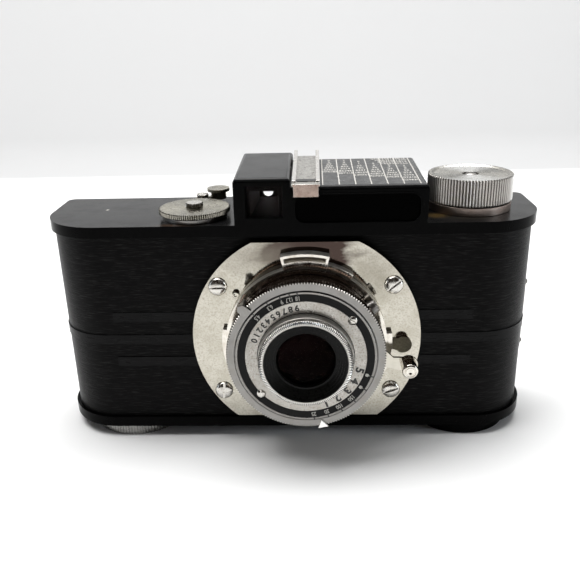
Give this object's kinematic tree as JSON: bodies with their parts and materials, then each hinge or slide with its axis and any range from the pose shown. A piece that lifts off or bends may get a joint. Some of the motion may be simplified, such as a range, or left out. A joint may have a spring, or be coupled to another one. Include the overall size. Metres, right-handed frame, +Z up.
{
  "type": "miniature camera",
  "caption": "Miniature roll film camera: black moulded body with a finder and meter hump, a retracting leaf shutter lens on a chrome plate, a counter dial and a large rewind knob.",
  "frame": {"origin": "centre of the footprint, on the surface that the foot and the winding knob stand on", "axes": "+X to the right seen from the front, +Y from the lens to the back, +Z up"},
  "size_m": [0.1343, 0.0488, 0.0763],
  "materials": {
    "bakelite": "polished on the lips and hump, fine grain on the walls",
    "chrome_plate": "polished, with light wear",
    "satin_nickel": "satin turned nickel plate",
    "bright_screws": "plated, slotted",
    "aluminium_knob": "turned top and fine knurled edge",
    "brass_fitting": "plain turned brass",
    "black_metal": "satin black lacquer",
    "blackened_steel": "blackened blade steel",
    "spring_steel": "plain spring steel",
    "lens_glass": "clear optical glass",
    "dark_glass": "smoked glass",
    "printed_plate": "grey plate with white figures",
    "dark_plastic": "moulded black, matt"
  },
  "bodies": {
    "chassis": {"body_shell": "bakelite", "front_plate": "chrome_plate", "plate_screws": "bright_screws", "lens_sleeve": "satin_nickel", "stop_pin": "bright_screws", "film_gate": "black_metal", "gate_screws": "bright_screws", "finder_mask": "black_metal", "finder_front_lens": "lens_glass", "finder_eyepiece": "black_metal", "finder_eye_lens": "lens_glass", "meter_window": "dark_glass", "meter_wedge": "dark_glass", "meter_eyepiece": "black_metal", "exposure_table": "printed_plate", "foot_disc": "bakelite", "tripod_bush": "brass_fitting", "rewind_collar": "satin_nickel", "counter_bush": "brass_fitting", "catch_screw": "bright_screws"},
    "back": {"back_cover": "bakelite", "pressure_springs": "spring_steel"},
    "pressure": {"pressure_plate": "black_metal"},
    "latch": {"back_latch": "spring_steel"},
    "focus": {"focus_ring": "chrome_plate"},
    "barrel": {"draw_tube": "chrome_plate", "shutter_case": "satin_nickel", "scale_ring": "black_metal", "shutter_face": "satin_nickel", "face_screws": "bright_screws", "front_cell": "satin_nickel", "front_lens": "lens_glass", "middle_lens": "lens_glass", "rear_cell": "black_metal", "rear_lens": "lens_glass", "cable_socket": "satin_nickel"},
    "speed": {"speed_ring": "satin_nickel", "speed_pointer": "bright_screws"},
    "aperture": {"aperture_lever": "chrome_plate"},
    "iris_1": {"iris_blade_1": "blackened_steel"},
    "iris_2": {"iris_blade_2": "blackened_steel"},
    "iris_3": {"iris_blade_3": "blackened_steel"},
    "iris_4": {"iris_blade_4": "blackened_steel"},
    "iris_5": {"iris_blade_5": "blackened_steel"},
    "release": {"release_lever": "chrome_plate", "release_button": "chrome_plate"},
    "shutter_1": {"shutter_blade_1": "blackened_steel"},
    "shutter_2": {"shutter_blade_2": "blackened_steel"},
    "rewind_slide": {"rewind_sleeve": "brass_fitting"},
    "rewind": {"rewind_knob": "aluminium_knob", "rewind_fork": "bright_screws", "rewind_screw": "bright_screws"},
    "wind": {"wind_knob": "aluminium_knob", "takeup_spool": "dark_plastic"},
    "film_sprocket": {"sprocket": "bright_screws"},
    "counter": {"counter_gear": "brass_fitting", "counter_dial": "satin_nickel", "counter_nut": "satin_nickel"},
    "catch": {"catch_lever": "satin_nickel"},
    "slider": {"calculator_slider": "chrome_plate"}
  },
  "joints": [
    {"name": "back_slide", "type": "slide", "parent": "chassis", "child": "back", "axis": [0, 1, 0], "range_m": [0, 0.014]},
    {"name": "pressure_slide", "type": "slide", "parent": "back", "child": "pressure", "axis": [0, 1, 0], "range_m": [0, 0.0004], "stiffness_N_per_m": 500, "springref_m": -0.002},
    {"name": "latch_swing", "type": "hinge", "parent": "chassis", "child": "latch", "pos_m": [0.06632, 0.00898, 0.0304], "axis": [0, 0, -1], "range_deg": [0, 10], "stiffness_Nm_per_rad": 0.05, "springref_deg": -5.73},
    {"name": "focus_turn", "type": "hinge", "parent": "chassis", "child": "focus", "pos_m": [0.00395, -0.01552, 0.03133], "axis": [0, -1, 0], "range_deg": [0, 35]},
    {"name": "barrel_slide", "type": "slide", "parent": "chassis", "child": "barrel", "axis": [0, -1, 0], "range_m": [0, 0.013]},
    {"name": "speed_turn", "type": "hinge", "parent": "barrel", "child": "speed", "pos_m": [0.00395, -0.01552, 0.03133], "axis": [0, 1, 0], "range_deg": [-60, 6]},
    {"name": "aperture_turn", "type": "hinge", "parent": "barrel", "child": "aperture", "pos_m": [0.00395, -0.01552, 0.03133], "axis": [0, 1, 0], "range_deg": [0, 41]},
    {"name": "iris_turn_1", "type": "hinge", "parent": "barrel", "child": "iris_1", "pos_m": [0.00395, -0.01742, 0.04493], "axis": [0, 1, 0], "range_deg": [0, 24.5]},
    {"name": "iris_turn_2", "type": "hinge", "parent": "barrel", "child": "iris_2", "pos_m": [0.01688, -0.01742, 0.03553], "axis": [0, 1, 0], "range_deg": [0, 24.5]},
    {"name": "iris_turn_3", "type": "hinge", "parent": "barrel", "child": "iris_3", "pos_m": [0.01194, -0.01742, 0.02033], "axis": [0, 1, 0], "range_deg": [0, 24.5]},
    {"name": "iris_turn_4", "type": "hinge", "parent": "barrel", "child": "iris_4", "pos_m": [-0.00404, -0.01742, 0.02033], "axis": [0, 1, 0], "range_deg": [0, 24.5]},
    {"name": "iris_turn_5", "type": "hinge", "parent": "barrel", "child": "iris_5", "pos_m": [-0.00898, -0.01742, 0.03553], "axis": [0, 1, 0], "range_deg": [0, 24.5]},
    {"name": "release_press", "type": "hinge", "parent": "barrel", "child": "release", "pos_m": [0.01866, -0.01512, 0.03555], "axis": [0, 1, 0], "range_deg": [0, 10], "stiffness_Nm_per_rad": 0.03, "springref_deg": -8.59},
    {"name": "shutter_turn_1", "type": "hinge", "parent": "barrel", "child": "shutter_1", "pos_m": [0.01745, -0.01372, 0.03133], "axis": [0, -1, 0], "range_deg": [0, 38.5]},
    {"name": "shutter_turn_2", "type": "hinge", "parent": "barrel", "child": "shutter_2", "pos_m": [-0.00955, -0.01392, 0.03133], "axis": [0, -1, 0], "range_deg": [0, 38.5]},
    {"name": "rewind_lift", "type": "slide", "parent": "chassis", "child": "rewind_slide", "axis": [0, 0, 1], "range_m": [0, 0.005]},
    {"name": "rewind_spin", "type": "hinge", "parent": "rewind_slide", "child": "rewind", "pos_m": [0.0486, 0.00808, 0.0632], "axis": [0, 0, 1], "continuous": true},
    {"name": "wind_spin", "type": "hinge", "parent": "chassis", "child": "wind", "pos_m": [-0.047, 0.00688, 0.0032], "axis": [0, 0, -1], "continuous": true},
    {"name": "sprocket_spin", "type": "hinge", "parent": "chassis", "child": "film_sprocket", "pos_m": [-0.0295, 0.01093, 0.0312], "axis": [0, 0, 1], "continuous": true},
    {"name": "counter_spin", "type": "hinge", "parent": "chassis", "child": "counter", "pos_m": [-0.0257, 0.00248, 0.0632], "axis": [0, 0, 1], "continuous": true},
    {"name": "catch_turn", "type": "hinge", "parent": "chassis", "child": "catch", "pos_m": [-0.0254, 0.01548, 0.0642], "axis": [0, 0, 1], "range_deg": [0, 25], "stiffness_Nm_per_rad": 0.01, "springref_deg": -11.46},
    {"name": "calculator_slide", "type": "slide", "parent": "chassis", "child": "slider", "axis": [1, 0, 0], "range_m": [0, 0.026]}
  ],
  "couplings": [
    {"joint": "iris_turn_1", "follows": "aperture_turn", "ratio": 0.585},
    {"joint": "iris_turn_2", "follows": "aperture_turn", "ratio": 0.585},
    {"joint": "iris_turn_3", "follows": "aperture_turn", "ratio": 0.585},
    {"joint": "iris_turn_4", "follows": "aperture_turn", "ratio": 0.585},
    {"joint": "iris_turn_5", "follows": "aperture_turn", "ratio": 0.585},
    {"joint": "shutter_turn_1", "follows": "release_press", "ratio": 3.8},
    {"joint": "shutter_turn_2", "follows": "release_press", "ratio": 3.8},
    {"joint": "counter_spin", "follows": "sprocket_spin", "ratio": -0.027778}
  ]
}
